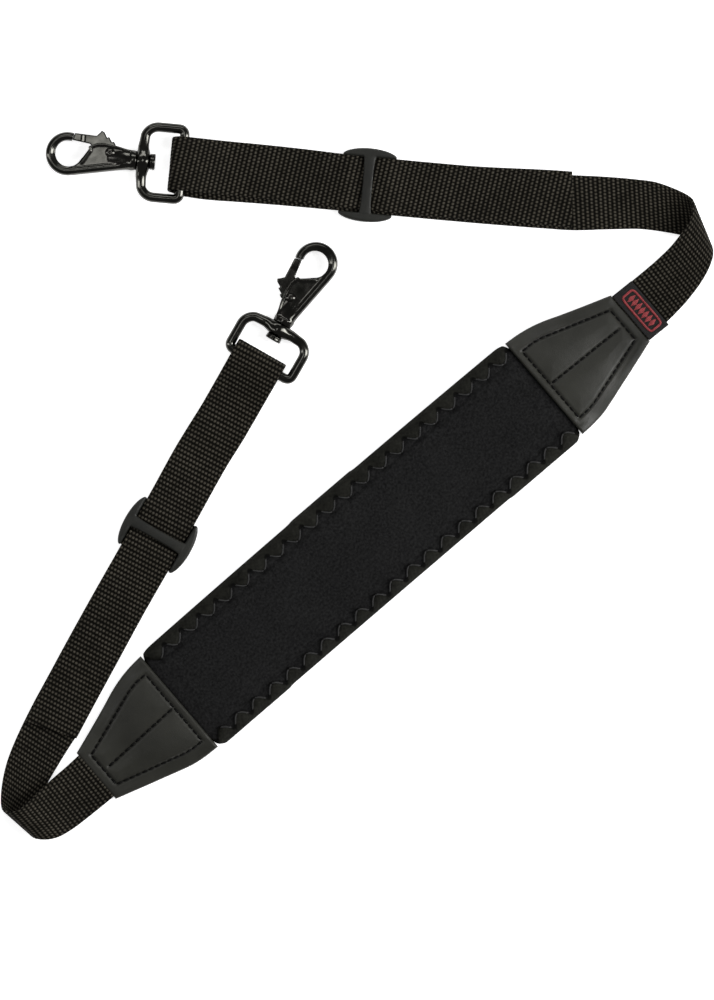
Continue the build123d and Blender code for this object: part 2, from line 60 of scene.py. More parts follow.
# ---- materials ----
class Shader:
    """A material's node tree, with the few node patterns that these materials share."""

    def __init__(self, name, color, roughness, specular=0.5, metallic=0.0):
        self.material = bpy.data.materials.new(name)
        self.material.use_nodes = True
        self.tree = self.material.node_tree
        self.principled = self.tree.nodes["Principled BSDF"]
        self.principled.inputs["Base Color"].default_value = (*color, 1)
        self.principled.inputs["Roughness"].default_value = roughness
        self.principled.inputs["Specular IOR Level"].default_value = specular
        self.principled.inputs["Metallic"].default_value = metallic

    def node(self, kind, **settings):
        made = self.tree.nodes.new(kind)
        for key, value in settings.items():
            setattr(made, key, value)
        return made

    def feed(self, socket, value):
        if isinstance(value, bpy.types.NodeSocket):
            self.tree.links.new(value, socket)
        else:
            socket.default_value = value

    def math(self, operation, *values):
        made = self.node("ShaderNodeMath", operation=operation)
        for socket, value in zip(made.inputs, values):
            self.feed(socket, value)
        return made.outputs[0]

    def times(self, *values):
        return self.math("MULTIPLY", *values)

    def plus(self, *values):
        return self.math("ADD", *values)

    def place(self):
        return self.node("ShaderNodeTexCoord").outputs["Object"]

    def axes(self, place=None):
        """The parts of a place, by default the object's own coordinates."""
        made = self.node("ShaderNodeSeparateXYZ")
        self.feed(made.inputs[0], place or self.place())
        return made.outputs

    def stretched(self, scale):
        made = self.node("ShaderNodeMapping")
        self.feed(made.inputs["Vector"], self.place())
        made.inputs["Scale"].default_value = scale
        return made.outputs[0]

    def noise(self, scale, detail=2.0, vector=None, roughness=0.5):
        made = self.node("ShaderNodeTexNoise")
        self.feed(made.inputs["Vector"], vector or self.place())
        made.inputs["Scale"].default_value = scale
        made.inputs["Detail"].default_value = detail
        made.inputs["Roughness"].default_value = roughness
        return made.outputs["Fac"]

    def cells(self, scale, feature="F1", vector=None):
        made = self.node("ShaderNodeTexVoronoi", feature=feature)
        self.feed(made.inputs["Vector"], vector or self.place())
        made.inputs["Scale"].default_value = scale
        return made.outputs["Distance"]

    def ramp(self, value, *stops):
        made = self.node("ShaderNodeValToRGB")
        self.feed(made.inputs["Fac"], value)
        elements = made.color_ramp.elements
        while len(elements) < len(stops):
            elements.new(1.0)
        for element, (position, color) in zip(elements, stops):
            element.position = position
            element.color = (*color, 1) if hasattr(color, "__len__") else (color, color, color, 1)
        return made.outputs["Color"]

    def bump(self, height, distance, strength=1.0, under=None):
        made = self.node("ShaderNodeBump")
        made.inputs["Strength"].default_value = strength
        made.inputs["Distance"].default_value = distance * MM
        self.feed(made.inputs["Height"], height)
        if under:
            self.feed(made.inputs["Normal"], under)
        self.feed(self.principled.inputs["Normal"], made.outputs[0])
        return made.outputs[0]

    def stitch_repeat(self):
        """Place in one repeat of the binding's stitch, from -0.5 to 0.5 and 0 at a hole, and millimetres
        out from the pad's middle line."""
        x, y = self.axes()[:2]
        turn = self.math("SUBTRACT", self.math("FRACT", self.math("DIVIDE", x, FEATHER * MM)), 0.5)
        return turn, self.math("DIVIDE", self.math("ABSOLUTE", y), MM)

    def away_from_holes(self):
        """1 on plain cloth, falling to 0 in the holes of the binding's stitches: painted shade in the holes.
        """
        turn, out = self.stitch_repeat()
        along = self.times(turn, FEATHER)
        across = self.math("SUBTRACT", out, SEAM + 4.5)
        far = self.math("SQRT", self.plus(self.times(along, along), self.times(across, across)))
        clear = self.times(self.math("SUBTRACT", far, 0.5), 0.9)
        return self.math("MINIMUM", self.math("MAXIMUM", clear, 0.0), 1.0)

    def from_lobes(self):
        """Millimetres outwards from the binding's scalloped inner edge."""
        tip, depth, power = LOBE
        turn, out = self.stitch_repeat()
        wave = self.math("SINE", self.times(self.math("ABSOLUTE", turn), math.pi))
        notch = self.times(self.math("SUBTRACT", 1.0, self.math("POWER", wave, power)), depth)
        return self.math("SUBTRACT", out, self.plus(notch, tip))

    def within(self, value, start, finish, least):
        """Rises from least to 1 as a value goes from start to finish."""
        made = self.node("ShaderNodeMapRange")
        for socket, given in zip(made.inputs, (value, start, finish, least, 1.0)):
            self.feed(socket, given)
        return made.outputs[0]

    def color(self, value):
        self.feed(self.principled.inputs["Base Color"], value)

    def rough(self, value):
        self.feed(self.principled.inputs["Roughness"], value)


def woven_webbing():
    """Coarse polypropylene weave: staggered picks, brown-black, with painted light on their crowns and
    painted shade in the grooves between them.
    """
    s = Shader("webbing_weave", (0.02, 0.017, 0.014), 0.6, 0.07)
    u, v = s.axes(s.node("ShaderNodeUVMap", uv_map="weave").outputs[0])[:2]
    along = s.math("DIVIDE", u, PICK[0])
    stagger = s.times(s.math("PINGPONG", s.math("FLOOR", along), 1.0), 0.5)
    across = s.plus(s.math("DIVIDE", v, PICK[1]), stagger)
    crown = 1.0
    for position, power in ((along, 1.3), (across, 2.6)):
        phase = s.math("SUBTRACT", s.times(s.math("FRACT", position), 2.0), 1.0)
        hump = s.math("SUBTRACT", 1.0, s.math("POWER", s.math("ABSOLUTE", phase), power))
        crown = s.times(hump, crown)
    crown = s.math("POWER", crown, 1.1)
    strands = s.math("SINE", s.times(s.plus(v, s.times(u, 0.35)), 2 * math.pi / 0.3))
    uneven = s.noise(350.0, 3.0)
    patch = s.noise(45.0, 2.0)
    shade = s.times(crown, s.plus(0.55, s.times(uneven, 0.9)))
    shade = s.times(shade, s.plus(0.75, s.times(patch, 0.5)))
    # Colour follows the picks' height: painted shade, near black, in the grooves and painted light on the
    # crowns.
    s.color(s.ramp(shade, (0.03, (0.0008, 0.0007, 0.0004)), (0.42, (0.0138, 0.0124, 0.0088)),
                   (0.95, (0.082, 0.074, 0.058))))
    s.rough(s.ramp(crown, (0.0, 0.8), (1.0, 0.48)))
    first = s.bump(crown, 0.30)
    s.bump(s.plus(s.times(strands, 0.5), uneven), 0.05, under=first)
    return s.material


def brushed_knit():
    """Charcoal face knit, with a fine uneven nap."""
    s = Shader("pad_knit", (0.012, 0.012, 0.0125), 0.95, 0.05)
    nap = s.noise(850.0, 1.5, roughness=0.6)
    loops = s.cells(1100.0)
    cloud = s.noise(60.0, 3.0)
    tone = s.plus(s.times(nap, 0.8), s.times(cloud, 0.2))
    # Painted shade in the binding's stitch holes.
    tone = s.times(tone, s.away_from_holes())
    # Painted shade on the knit beside the binding's lobes, darkest at their edge.
    tone = s.times(tone, s.within(s.times(s.from_lobes(), -1.0), 0.0, 3.0, 0.8))
    s.color(s.ramp(tone, (0.32, (0.0045, 0.0045, 0.0047)), (0.68, (0.0185, 0.0185, 0.0187))))
    s.principled.inputs["Sheen Weight"].default_value = 0.05
    s.principled.inputs["Sheen Roughness"].default_value = 0.6
    s.bump(s.plus(loops, nap), 0.22)
    return s.material


def woven_binding():
    """Fine plain weave, with painted shade along the scalloped inner edge where the binding creases into
    lobes.
    """
    s = Shader("binding_weave", (0.012, 0.0118, 0.0115), 0.8, 0.08)
    x, y = s.axes()[:2]
    weave = s.times(*(s.math("SINE", s.times(value, 2 * math.pi / (0.9 * MM))) for value in (x, y)))
    nap = s.noise(700.0, 3.0, roughness=0.6)
    cloud = s.noise(90.0, 3.0)
    tone = s.plus(s.times(weave, 0.12), s.plus(s.times(nap, 0.55), s.times(cloud, 0.45)))
    # Painted shade in the stitch holes.
    tone = s.times(tone, s.away_from_holes())
    # Painted shade along the lobes' scalloped edge, where the binding creases.
    tone = s.times(tone, s.within(s.from_lobes(), 0.2, 1.6, 0.55))
    s.color(s.ramp(tone, (0.22, (0.0025, 0.0025, 0.002)), (0.7, (0.0235, 0.0235, 0.0195))))
    s.bump(s.plus(weave, nap), 0.1)
    return s.material


def smooth_leather():
    """Black-grey coated leather with a soft sheen, a shallow grain and cloudy lighter patches of colour,
    painted highlights.
    """
    s = Shader("tab_leather", (0.022, 0.022, 0.021), 0.4, 0.28)
    cloud = s.noise(30.0, 4.0)
    grain = s.cells(1500.0, "DISTANCE_TO_EDGE")
    fine = s.noise(2600.0, 2.0)
    # Cloudy lighter patches of the colour are painted highlights.
    s.color(s.ramp(cloud, (0.3, (0.0175, 0.0175, 0.0145)), (0.72, (0.038, 0.038, 0.0315))))
    s.rough(s.ramp(s.noise(55.0, 3.0), (0.3, 0.36), (0.75, 0.52)))
    first = s.bump(s.ramp(grain, (0.0, 0.0), (0.25, 1.0)), 0.018)
    second = s.bump(fine, 0.012, under=first)
    s.bump(s.noise(120.0, 2.0), 0.25, under=second)
    return s.material


def waxed_thread(name, tone):
    """Twisted thread: a spiral of darker lines round the ply, painted shade in the grooves of the twist."""
    s = Shader(name, (tone, tone, tone), 0.6, 0.15)
    twist = s.node("ShaderNodeTexWave", wave_type="BANDS", bands_direction="DIAGONAL")
    s.feed(twist.inputs["Vector"], s.place())
    twist.inputs["Scale"].default_value = 900.0
    twist.inputs["Distortion"].default_value = 1.5
    # Darker bands: painted shade in the twist's grooves.
    s.color(s.ramp(twist.outputs["Fac"], (0.1, (tone * 0.4,) * 3), (0.9, (tone * 1.3,) * 3)))
    s.bump(twist.outputs["Fac"], 0.06)
    return s.material


def moulded_plastic():
    """Satin nylon moulding with a fine spark-eroded texture."""
    s = Shader("slider_plastic", (0.02, 0.02, 0.019), 0.5, 0.35)
    cloud = s.noise(70.0, 3.0)
    s.color(s.ramp(cloud, (0.3, (0.009, 0.0093, 0.0076)), (0.75, (0.02, 0.0205, 0.0165))))
    s.rough(s.ramp(s.noise(400.0, 2.0), (0.3, 0.42), (0.7, 0.58)))
    s.bump(s.noise(2500.0, 2.0), 0.03)
    return s.material


def black_plating():
    """Black nickel over a casting: dark mirror-like metal, faintly wavy, duller in worn patches."""
    s = Shader("gunmetal_plating", (0.06, 0.059, 0.054), 0.2, 0.5, 1.0)
    worn = s.noise(160.0, 4.0, roughness=0.6)
    s.color(s.ramp(worn, (0.35, (0.05, 0.049, 0.044)), (0.75, (0.085, 0.084, 0.076))))
    s.rough(s.ramp(s.noise(300.0, 3.0), (0.3, 0.1), (0.75, 0.2)))
    s.bump(s.noise(260.0, 2.0), 0.02)
    return s.material


def drawn_wire():
    """Bright spring wire with fine draw lines."""
    s = Shader("spring_wire", (0.35, 0.35, 0.36), 0.3, 0.5, 1.0)
    lines = s.noise(60.0, 2.0, vector=s.stretched((1.0, 30.0, 30.0)))
    s.color(s.ramp(lines, (0.3, (0.22, 0.22, 0.23)), (0.7, (0.45, 0.45, 0.46))))
    s.bump(lines, 0.01)
    return s.material


def label_weave(name, low, high):
    """Fine damask weave of the label, or the raised yarn of its motif."""
    s = Shader(name, high, 0.7, 0.2)
    rib = s.node("ShaderNodeTexWave", wave_type="BANDS", bands_direction="Y")
    s.feed(rib.inputs["Vector"], s.place())
    rib.inputs["Scale"].default_value = 500.0
    rib.inputs["Distortion"].default_value = 2.0
    nap = s.noise(1200.0, 2.0)
    s.color(s.ramp(s.times(nap, s.plus(0.6, rib.outputs["Fac"])), (0.2, low), (0.75, high)))
    s.bump(rib.outputs["Fac"], 0.08)
    return s.material


WEBBING = woven_webbing()
KNIT = brushed_knit()
BINDING = woven_binding()
LEATHER = smooth_leather()
THREAD = waxed_thread("tab_thread", 0.002)
FEATHER_THREAD = waxed_thread("binding_thread", 0.05)
PLASTIC = moulded_plastic()
PLATING = black_plating()
WIRE = drawn_wire()
LABEL = label_weave("label_weave", (0.004, 0.004, 0.004), (0.022, 0.021, 0.021))
MOTIF = label_weave("label_motif", (0.12, 0.014, 0.018), (0.4, 0.07, 0.075))


# ---- shared geometry ----
def piece(name, points, faces, material, body, replaced=(), uv=None):
    """A smooth-shaded mesh from points in millimetres, riding on a CAD body."""
    mesh = bpy.data.meshes.new(name)
    mesh.from_pydata([tuple(p) for p in np.asarray(points, float) * MM], [], faces)
    made = bpy.data.objects.new(name, mesh)
    bpy.context.scene.collection.objects.link(made)
    if uv is not None:
        layer = mesh.uv_layers.new(name="weave")
        corners = np.zeros(len(mesh.loops), np.int32)
        mesh.loops.foreach_get("vertex_index", corners)
        layer.data.foreach_set("uv", np.asarray(uv, np.float32)[corners].ravel())
    outward(mesh)
    return dress(made, material, body, replaced)


def outward(mesh):
    """Points every face out, and shades it smooth."""
    work = bmesh.new()
    work.from_mesh(mesh)
    bmesh.ops.recalc_face_normals(work, faces=work.faces)
    for face in work.faces:
        face.smooth = True
    work.to_mesh(mesh)
    work.free()


def dress(made, material, body, replaced=()):
    """Gives a new piece its material and CAD body, and hides the CAD nodes it replaces."""
    made.data.materials.clear()
    made.data.materials.append(material)
    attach(made, body)
    if replaced:
        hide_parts(*replaced)
    return made


def smooth_step(value, low, high):
    share = np.clip((np.asarray(value, float) - low) / (high - low), 0, 1)
    return share * share * (3 - 2 * share)


def through(points, knots, wanted):
    """Smooth curve through points at uneven knots, read at the wanted places."""
    points, knots = np.asarray(points, float), np.asarray(knots, float)
    gaps = np.diff(knots)
    slopes = np.diff(points, axis=0) / gaps[:, None]
    tangents = np.empty_like(points)
    tangents[0], tangents[-1] = slopes[0], slopes[-1]
    share = (gaps[:-1] / (gaps[:-1] + gaps[1:]))[:, None]
    tangents[1:-1] = slopes[:-1] * (1 - share) + slopes[1:] * share
    at = np.clip(np.searchsorted(knots, wanted, side="right") - 1, 0, len(gaps) - 1)
    h = gaps[at][:, None]
    t = ((wanted - knots[at]) / gaps[at])[:, None]
    return ((2 * t**3 - 3 * t**2 + 1) * points[at] + (t**3 - 2 * t**2 + t) * h * tangents[at]
            + (3 * t**2 - 2 * t**3) * points[at + 1] + (t**3 - t**2) * h * tangents[at + 1])


def run_lengths(path):
    """Distance from the start of a path to each of its points."""
    return np.concatenate([[0], np.cumsum(np.linalg.norm(np.diff(path, axis=0), axis=1))])


def tree_of(made):
    """Search tree of a piece's surface."""
    faces = [p.vertices[:] for p in made.data.polygons]
    return BVHTree.FromPolygons([v.co for v in made.data.vertices], faces)


def shell_grid(top, bottom):
    """Points and faces of the closed solid between two matching grids of points."""
    rows, columns = top.shape[:2]
    points = np.concatenate([top.reshape(-1, 3), bottom.reshape(-1, 3)])
    index = np.arange(rows * columns).reshape(rows, columns)
    under = index + rows * columns
    faces = []
    for grid in (index, under[:, ::-1]):
        quads = np.stack([grid[:-1, :-1], grid[1:, :-1], grid[1:, 1:], grid[:-1, 1:]], -1)
        faces += quads.reshape(-1, 4).tolist()
    for upper, lower in ((index[0], under[0]), (index[-1], under[-1]),
                         (index[:, 0], under[:, 0]), (index[:, -1], under[:, -1])):
        faces += np.stack([upper[:-1], upper[1:], lower[1:], lower[:-1]], -1).tolist()
    return points, faces


def tubes(name, paths, radius, material, body, replaced=(), sides=8):
    """Round threads along paths, closed and rounded at both ends."""
    points, faces = [], []
    for path in paths:
        path = np.asarray(path, float)
        tangent = np.gradient(path, axis=0)
        tangent /= np.linalg.norm(tangent, axis=1)[:, None]
        across = np.cross(tangent, (0, 0, 1.0))
        across /= np.linalg.norm(across, axis=1)[:, None]
        upward = np.cross(across, tangent)
        sizes = np.full(len(path), radius)
        sizes[[0, -1]] = radius * 0.55
        turn = np.arange(sides) * 2 * math.pi / sides
        start = len(points)
        for middle, a, b, size in zip(path, across, upward, sizes):
            points += [middle + size * (math.cos(w) * a + math.sin(w) * b) for w in turn]
        for ring in range(len(path) - 1):
            first = start + ring * sides
            faces += [(first + i, first + (i + 1) % sides, first + sides + (i + 1) % sides, first + sides + i)
                      for i in range(sides)]
        faces.append(tuple(range(start, start + sides)))
        faces.append(tuple(range(len(points) - sides, len(points))))
    return piece(name, points, faces, material, body, replaced)


# ---- webbing ----
def relief(along, across):
    """Height of the weave's picks, from 0 in a groove to 1 on a crown."""
    u = along / PICK[0]
    v = across / PICK[1] + 0.5 * (np.floor(u) % 2)
    humps = [1 - np.abs(2 * (w - np.floor(w)) - 1) ** power for w, power in ((u, 1.6), (v, 2.8))]
    return humps[0] * humps[1]


def ribbon(name, stations, body, node):
    """Webbing between two edges: each station is a point on one edge and its partner on the other."""
    first = np.array([s[0] for s in stations], float)
    second = np.array([s[1] for s in stations], float)
    hops = sum(np.linalg.norm(np.diff(edge, axis=0), axis=1) for edge in (first, second)) / 2
    knots = np.concatenate([[0], np.cumsum(hops)])
    fine = np.linspace(0, knots[-1], int(knots[-1] / 0.1))
    edges = [through(e, knots, fine) for e in (first, second)]
    lengths = [run_lengths(edge) for edge in edges]
    mean = (lengths[0] + lengths[1]) / 2
    even = np.arange(0, mean[-1], PICK[0] / 4)
    rows = [np.stack([np.interp(even, mean, e[:, k]) for k in range(3)], -1) for e in edges]
    along = [np.interp(even, mean, length) for length in lengths]
    columns = 57
    share = np.linspace(0, 1, columns)
    middle = rows[0][:, None] * (1 - share)[None, :, None] + rows[1][:, None] * share[None, :, None]
    s = along[0][:, None] * (1 - share) + along[1][:, None] * share
    t = np.broadcast_to((share - 0.5) * WIDTH, s.shape)
    normal = np.cross(np.gradient(middle, axis=0), np.gradient(middle, axis=1))
    normal /= np.linalg.norm(normal, axis=2)[:, :, None]
    selvage = np.sqrt(1 - 0.8 * np.clip((np.abs(t) - WIDTH / 2 + 0.9) / 0.9, 0, 1) ** 2)
    half = THICK / 2 * selvage + 0.17 * (relief(s, t + WIDTH) - 0.6) * selvage
    top = middle + normal * half[:, :, None]
    bottom = middle - normal * half[:, :, None]
    points, faces = shell_grid(top, bottom)
    weave = np.stack([s, t + WIDTH], -1).reshape(-1, 2)
    return piece(name, points, faces, WEBBING, body, (node,), np.concatenate([weave, weave]))


def strap_pairs(bar, turn, places):
    """Stations on the straight strap: distance back from the bar, lateral place and height of each edge."""
    along = np.array((math.cos(math.radians(turn)), math.sin(math.radians(turn))))
    side = np.array((along[1], -along[0])) if turn > 90 else np.array((-along[1], along[0]))
    pairs = []
    for back, outer, inner, height in places:
        back = back if hasattr(back, "__len__") else (back, back)
        ends = []
        for distance, lateral in zip(back, (outer, inner)):
            spot = np.array(bar) - along * distance + side * lateral
            ends.append((spot[0], spot[1], height))
        pairs.append(tuple(ends))
    return pairs


def round_the_bar(middle, drift):
    """Run under the bar, the turn in front of it, and the ramp back down on to the strap. The lower
    run lies to one side by the drift, which the turn takes up."""
    outer, inner = middle + WIDTH / 2, middle - WIDTH / 2
    low = [(back, outer - drift * share, inner - drift * share, 1.8)
           for back, share in ((26, 0.92), (16, 1.0), (9, 0.97), (4, 0.85), (-2, 0.62))]
    turn = []
    for angle in (22.5, 45, 67.5, 90, 112.5, 135, 157.5):
        a, moved = math.radians(angle), drift * (0.5 - angle / 360)
        turn.append((-2.0 - 3.2 * math.sin(a), outer - moved, inner - moved, AXIS_HEIGHT - 3.2 * math.cos(a)))
    climb = ((-2, 8.2), (0.5, 8.15), (4, 7.6), (9, 6.3), (14, 4.9), (19, 3.7), (25, 3.13), (33, 3.1))
    return low + turn + [(back, outer, inner, height) for back, height in climb]


RIGHT_FOLD = [
    ((148.0, 12.2, 1.8), (148.0, -13.0, 1.8)),
    ((163.0, 12.2, 1.8), (163.0, -13.3, 1.8)),
    ((176.5, 11.9, 2.1), (172.5, -13.2, 2.1)),
    ((189.8, 11.8, 5.2), (181.8, -12.6, 4.4)),
    ((199.4, 12.4, 8.9), (191.0, -11.3, 7.6)),
    ((206.5, 13.8, 11.3), (199.2, -9.3, 10.2)),
    ((212.4, 15.2, 12.2), (205.6, -6.9, 11.6)),
    ((217.0, 18.0, 11.2), (210.2, -4.2, 11.2)),
    ((219.9, 20.8, 9.2), (212.5, -1.8, 9.2)),
    ((221.0, 23.0, 6.5), (213.5, 0.4, 6.4)),
    ((220.9, 25.4, 3.9), (213.3, 2.2, 3.7)),
    ((219.9, 28.6, 1.9), (212.3, 4.8, 1.7)),
    ((217.6, 33.6, 0.8), (208.2, 11.3, 0.75)),
    ((213.8, 39.9, 0.7), (202.8, 18.3, 0.7)),
    ((208.6, 45.8, 0.7), (195.2, 26.8, 0.7)),
    ((200.0, 54.6, 1.0), (183.4, 36.8, 1.0)),
]
LEFT_FOLD = [
    ((-148.0, 12.2, 1.8), (-148.0, -13.0, 1.8)),
    ((-163.0, 11.9, 1.8), (-163.0, -13.3, 1.8)),
    ((-172.0, 11.6, 2.3), (-172.0, -13.1, 2.3)),
    ((-180.0, 11.6, 4.4), (-180.0, -12.8, 3.9)),
    ((-188.0, 11.1, 7.4), (-188.0, -12.2, 6.6)),
    ((-195.0, 10.6, 10.2), (-195.0, -10.7, 9.2)),
    ((-200.3, 10.9, 12.0), (-199.4, -8.3, 10.6)),
    ((-203.9, 12.3, 11.6), (-202.3, -5.5, 10.0)),
    ((-205.7, 14.4, 9.6), (-203.5, -3.4, 8.0)),
    ((-206.1, 16.4, 6.6), (-203.8, -1.4, 5.6)),
    ((-205.3, 18.4, 3.7), (-203.1, 0.6, 3.1)),
    ((-203.2, 21.2, 1.6), (-200.6, 3.2, 1.3)),
    ((-199.0, 25.3, 0.75), (-195.0, 6.5, 0.75)),
    ((-192.3, 30.4, 0.7), (-187.2, 9.9, 0.7)),
    ((-186.0, 34.1, 0.7), (-177.8, 13.3, 0.7)),
    ((-175.8, 39.0, 1.1), (-165.8, 17.2, 1.1)),
]
STRAPS = {  # bar, heading, fold, lower and upper layer as (back, outer, inner, height), middle, drift
    "right": ((51.8, 189.0), 134.1, RIGHT_FOLD,
              [(183.0, 12.2, -13.5, 1.5), (172.0, 11.4, -13.8, 1.8), (150.0, 10.8, -14.2, 1.8),
               (118.0, 10.6, -14.4, 1.8), (96.4, 10.6, -14.4, 2.1), (86.4, 10.6, -14.4, 1.1),
               (76.4, 10.6, -14.4, 2.1), (50.0, 10.6, -14.4, 1.8)],
              [(50.0, 12.7, -12.3, 3.1), (66.0, 12.3, -12.7, 3.1), (71.0, 12.1, -12.9, 3.1),
               (77.4, 12.0, -13.0, 3.8), (82.6, 12.0, -13.0, 2.9), (86.4, 11.9, -13.1, 2.4),
               (90.2, 11.9, -13.1, 2.9), (95.4, 11.8, -13.2, 3.8), (102.0, 11.8, -13.2, 3.1),
               (118.0, 11.8, -13.2, 3.1), (138.0, 12.0, -13.0, 3.1), (150.0, 12.5, -12.5, 3.1),
               (160.0, 13.0, -12.2, 3.1), (172.0, 13.5, -12.3, 3.1), ((181.3, 183.8), 13.7, -12.4, 3.05)],
              0.4, 2.9),
    "left": ((18.7, 95.6), 19.5, LEFT_FOLD,
             [(190.0, 12.3, -12.8, 1.6), (178.0, 12.6, -12.6, 1.8), (154.0, 13.2, -11.9, 1.8),
              (120.0, 13.6, -11.5, 1.8), (102.5, 13.6, -11.5, 2.1), (92.5, 13.7, -11.4, 1.1),
              (82.5, 13.8, -11.3, 2.1), (72.0, 14.0, -11.1, 1.8), (50.0, 14.3, -10.8, 1.8)],
             [(50.0, 14.3, -10.8, 3.1), (72.0, 14.0, -11.1, 3.1), (77.1, 13.9, -11.2, 3.1),
              (83.5, 13.8, -11.3, 3.8), (88.7, 13.8, -11.3, 2.9), (92.5, 13.7, -11.4, 2.4),
              (96.3, 13.7, -11.4, 2.9), (101.5, 13.6, -11.5, 3.8), (108.0, 13.6, -11.5, 3.1),
              (120.0, 13.5, -11.5, 3.1), (154.0, 12.8, -12.2, 3.1), (178.0, 12.0, -12.8, 3.1),
              ((198.6, 193.6), 11.2, -13.3, 3.05)],
             1.1, 0.0),
}
for side, (bar, turn, fold, lower, upper, middle, drift) in STRAPS.items():
    stations = lower + round_the_bar(middle, drift) + upper
    ribbon(f"{side}_webbing_woven", fold + strap_pairs(bar, turn, stations), "strap", f"{side}_webbing")


# ---- shoulder pad ----
def pad_edge(x, side):
    """Edge of the pad at a place along it: slightly barrel-shaped, with rounded corners."""
    far = 30.7 - 0.9 * (x / 100) ** 2 if side > 0 else 28.6 + 0.15 * (x / 100) ** 2
    past = max(0.0, abs(x) - (PAD[0] - PAD[1]))
    return side * (far - PAD[1] + math.sqrt(max(0.0, PAD[1] ** 2 - past**2)))


MOST_SWELL = 1.1                # cap on how far the simulation moves a point


def simulated_pad():
    """Foam pad: a slim closed slab, blown up between its sewn lines and held flat on the table."""
    places = np.concatenate([[-PAD[0]], np.linspace(-PAD[0] + 0.4, PAD[0] - 0.4, 113), [PAD[0]]])
    bow = np.linspace(-math.pi / 2, math.pi / 2, 9)
    rings = []
    for x in places:
        low, high = pad_edge(x, -1) + 0.5, pad_edge(x, 1) - 0.5
        pinch = 0.82 + 0.18 * float(smooth_step(PAD[0] - abs(x), 0, 9))
        rise = 2.7 * pinch
        right = [(x, high - rise + rise * math.cos(a), 0.15 + rise * (1 + math.sin(a))) for a in bow]
        left = [(x, low + rise - rise * math.cos(a), 0.15 + rise * (1 - math.sin(a))) for a in bow]
        rings.append(right + left)
    count = len(rings[0])
    points = [p for ring in rings for p in ring]
    faces = [(i + k, i + (k + 1) % count, i + count + (k + 1) % count, i + count + k)
             for i in range(0, (len(rings) - 1) * count, count) for k in range(count)]
    faces += [tuple(range(count)), tuple(range(len(points) - count, len(points)))]
    mesh = bpy.data.meshes.new("pad_start")
    mesh.from_pydata([tuple(v * MM for v in p) for p in points], [], faces)
    outward(mesh)
    slab = bpy.data.objects.new("pad_start", mesh)
    bpy.context.scene.collection.objects.link(slab)
    remesh = slab.modifiers.new("Remesh", "REMESH")
    remesh.mode = "VOXEL"
    remesh.voxel_size = 2.0 * MM
    taken_off(slab)
    rest = np.array([v.co for v in slab.data.vertices])
    held = slab.vertex_groups.new(name="held")
    for vertex in slab.data.vertices:
        x, y, z = vertex.co / MM
        sewn = z > 3 and abs(abs(y) - SEAM) < 1.3
        if z < 1.2 or sewn or abs(x) > PAD[0] - 3:
            held.add([vertex.index], 1.0, "REPLACE")
    cloth = slab.modifiers.new("Cloth", "CLOTH")
    for key, value in {"quality": 6, "mass": 0.3, "tension_stiffness": 18, "compression_stiffness": 18,
                       "shear_stiffness": 6, "bending_stiffness": 0.8, "use_pressure": True,
                       "uniform_pressure_force": 4, "vertex_group_mass": "held"}.items():
        setattr(cloth.settings, key, value)
    cloth.settings.effector_weights.gravity = 0
    cloth.point_cache.frame_start = 1
    cloth.point_cache.frame_end = 20
    for step in range(1, 21):
        bpy.context.scene.frame_set(step)
    taken_off(slab)
    blown = np.array([v.co for v in slab.data.vertices])
    moved = blown - rest
    far = np.linalg.norm(moved, axis=1)
    capped = rest + moved * np.minimum(1, MOST_SWELL * MM / np.maximum(far, 1e-9))[:, None]
    slab.data.vertices.foreach_set("co", capped.ravel())
    fine = slab.modifiers.new("Fine", "SUBSURF")
    fine.levels = 1
    taken_off(slab)
    return slab


def taken_off(made):
    """Applies an object's modifiers to its mesh."""
    graph = bpy.context.evaluated_depsgraph_get()
    graph.update()
    shape = bpy.data.meshes.new_from_object(made.evaluated_get(graph))
    made.modifiers.clear()
    made.data = shape


pad = simulated_pad()
pad.name = "shoulder_pad"
for axis_y in (-SEAM, SEAM):
    work = bmesh.new()
    work.from_mesh(pad.data)
    for shift in (-1.6, -0.8, 0.0, 0.8, 1.6):
        bmesh.ops.bisect_plane(work, geom=work.verts[:] + work.edges[:] + work.faces[:],
                               plane_co=(0, (axis_y + shift) * MM, 0), plane_no=(0, 1, 0))
    work.to_mesh(pad.data)
    work.free()
at = np.array([v.co for v in pad.data.vertices]) / MM
sewn_in = 0.7 * np.exp(-(((np.abs(at[:, 1]) - SEAM) / 0.9) ** 2))
at[:, 2] -= sewn_in * smooth_step(at[:, 2], 2.5, 4.5)
pad.data.vertices.foreach_set("co", (at * MM).ravel())
outward(pad.data)
dress(pad, KNIT, "strap", ("pad_core", "pad_face", "pad_lining"))


def scallop(x):
    """Inner edge of the binding, which the feather stitch pulls into lobes: pointed at the holes and
    round between them."""
    phase = np.abs(x / FEATHER - np.floor(x / FEATHER) - 0.5) * 2
    tip, depth, power = LOBE
    return tip + depth * (1 - np.sin(phase * math.pi / 2) ** power)


def binding_points(sign, tree, x, share):
    """Place on the pad's skin under the binding: share runs from 0 at its inner edge on top, round the
    outside, to 1 underneath; and the direction out of the skin there."""
    core = sign * pad_edge(x, sign) - 3.4
    inner = min(scallop(x), core - 0.4)
    if share < 0.45:
        y = inner + (core - inner) * share / 0.45
        start, aim = (x, sign * y, 12.0), (0, 0, -1)
    elif share < 0.75:
        turn = math.radians(90 - 180 * (share - 0.45) / 0.3)
        aim = (0, -sign * math.cos(turn), -math.sin(turn))
        start = (x, sign * core - 9 * aim[1], 2.9 - 9 * aim[2])
    else:
        start, aim = (x, sign * (core - (core - SEAM) * (share - 0.75) / 0.25), -5.0), (0, 0, 1)
    hit, normal = tree.ray_cast(Vector(start) * MM, Vector(aim))[:2]
    return (hit / MM, normal) if hit else (None, None)


